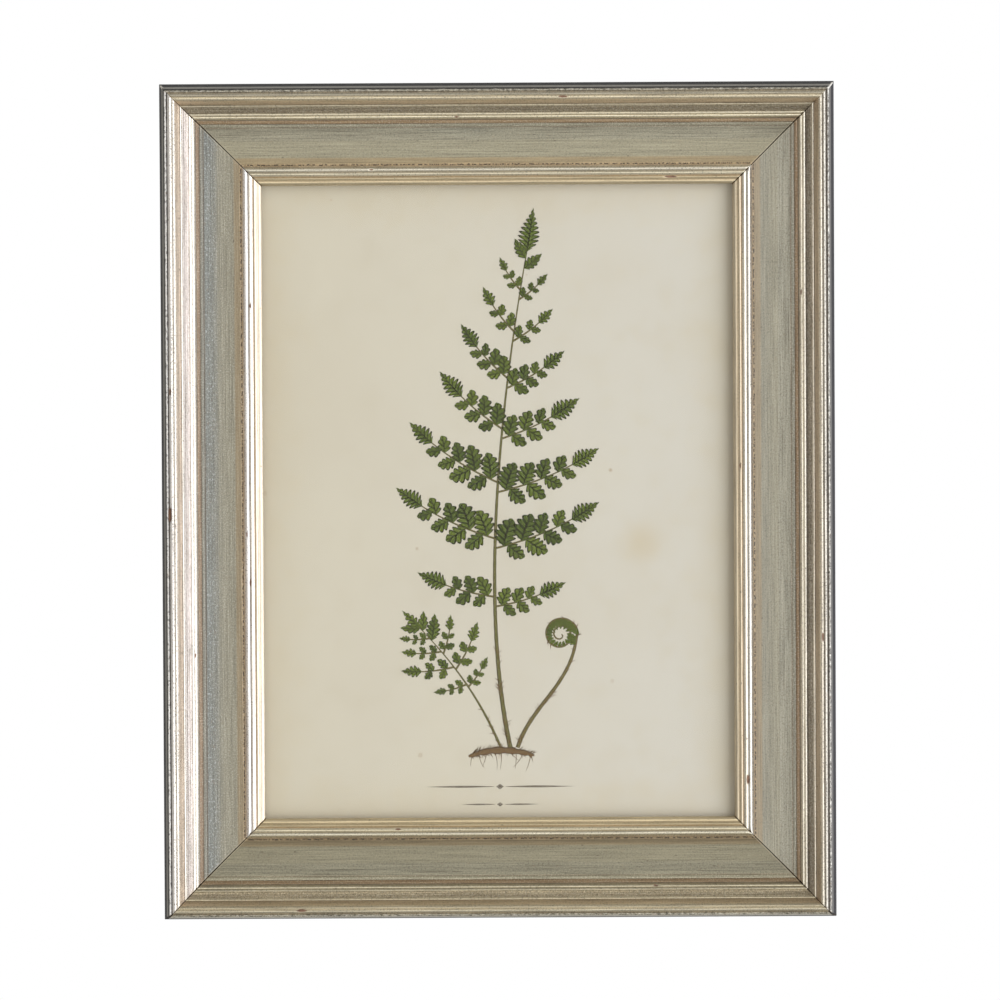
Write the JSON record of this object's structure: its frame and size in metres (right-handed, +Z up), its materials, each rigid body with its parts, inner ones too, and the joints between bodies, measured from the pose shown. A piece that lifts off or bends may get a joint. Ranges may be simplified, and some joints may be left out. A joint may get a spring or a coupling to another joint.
{
  "type": "framed botanical print",
  "caption": "Upright wall frame of mitred silver and champagne leaf scoop moulding round a glazed fern print on aged paper, with a sawtooth hanger and bumpers behind.",
  "frame": {"origin": "on the wall, at the middle notch of the sawtooth hanger, where the wall's nail bears", "axes": "+X to the viewer's right, +Y into the wall, +Z up; the picture faces -Y"},
  "size_m": [0.2046, 0.0243, 0.254],
  "materials": {
    "leafed_wood": "silver and champagne metal leaf rubbed through to tan and brown in the grooves, grey-green patina in the scoop, charcoal outer side, raw pine behind",
    "glass": "clear float glass",
    "aged_paper": "uncoated cream book paper, toned and lightly foxed, printed in green and brown",
    "hardboard": "brown pressed hardboard, mesh side out",
    "point_steel": "bare spring steel",
    "nail_steel": "grey blued steel",
    "hanger_steel": "yellow zinc plated steel",
    "bumper_rubber": "matt black rubber"
  },
  "bodies": {
    "root": {"rail_top": "leafed_wood", "rail_bottom": "leafed_wood", "rail_left": "leafed_wood", "rail_right": "leafed_wood", "glass_pane": "glass", "print_sheet": "aged_paper", "backing_board": "hardboard", "point_top_1": "point_steel", "point_top_2": "point_steel", "point_bottom_1": "point_steel", "point_bottom_2": "point_steel", "point_left_1": "point_steel", "point_left_2": "point_steel", "point_right_1": "point_steel", "point_right_2": "point_steel", "v_nail_top_left": "nail_steel", "v_nail_top_right": "nail_steel", "v_nail_bottom_left": "nail_steel", "v_nail_bottom_right": "nail_steel", "sawtooth_hanger": "hanger_steel", "hanger_nail_left": "hanger_steel", "hanger_nail_right": "hanger_steel", "bumper_left": "bumper_rubber", "bumper_right": "bumper_rubber"}
  },
  "joints": []
}
